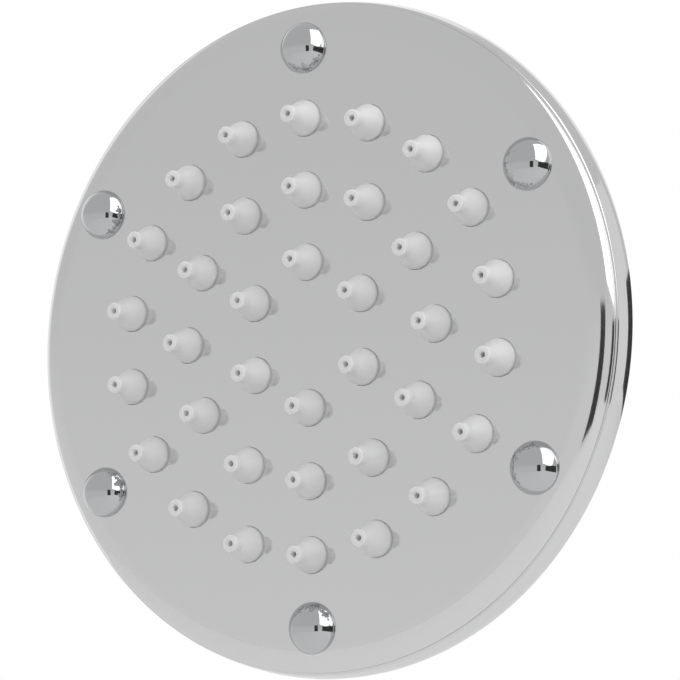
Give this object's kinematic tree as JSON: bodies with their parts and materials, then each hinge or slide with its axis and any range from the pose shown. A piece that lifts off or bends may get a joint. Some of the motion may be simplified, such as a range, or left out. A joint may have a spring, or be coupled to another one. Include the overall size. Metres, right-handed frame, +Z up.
{
  "type": "shower head",
  "caption": "Round fixed rain shower head: polished steel face with soft spray nozzles and dome-capped screws, shallow back shell, and a ball joint with a hexagon inlet for a half-inch pipe.",
  "frame": {"origin": "centre of the inlet's mouth, on the pipe's axis", "axes": "+Y out of the inlet towards the supply pipe, the spray leaves along -Y, +Z up, +X to the right as seen from the face"},
  "size_m": [0.15, 0.0703, 0.15],
  "materials": {
    "polished_steel": "polished",
    "cap_chrome": "mirror",
    "white_silicone": "satin",
    "plated_brass": "chrome plated",
    "raw_brass": "machined",
    "screw_steel": "plain",
    "inner_plastic": "moulded",
    "black_rubber": "moulded"
  },
  "bodies": {
    "inlet": {"ball_stem": "plated_brass", "flow_regulator": "inner_plastic", "filter_screen": "screw_steel", "inlet_washer": "black_rubber"},
    "seat": {"ball_seat": "inner_plastic"},
    "head": {"face_plate": "polished_steel", "nozzle_mat": "white_silicone", "dome_cap_1": "cap_chrome", "dome_cap_2": "cap_chrome", "dome_cap_3": "cap_chrome", "dome_cap_4": "cap_chrome", "dome_cap_5": "cap_chrome", "dome_cap_6": "cap_chrome", "cap_washers": "inner_plastic", "face_screws": "screw_steel", "screw_posts": "screw_steel", "water_chamber": "inner_plastic", "back_shell": "polished_steel", "swivel_socket": "plated_brass", "socket_gasket": "black_rubber", "socket_nut": "raw_brass", "tail_o_ring": "black_rubber", "ball_o_ring": "black_rubber", "ball_collar": "plated_brass"}
  },
  "joints": [
    {"name": "swivel", "type": "hinge", "parent": "inlet", "child": "seat", "pos_m": [0, -0.03, 0], "axis": [0, 1, 0], "continuous": true},
    {"name": "tilt", "type": "hinge", "parent": "seat", "child": "head", "pos_m": [0, -0.03, 0], "axis": [1, 0, 0], "range_deg": [-15, 15]}
  ]
}
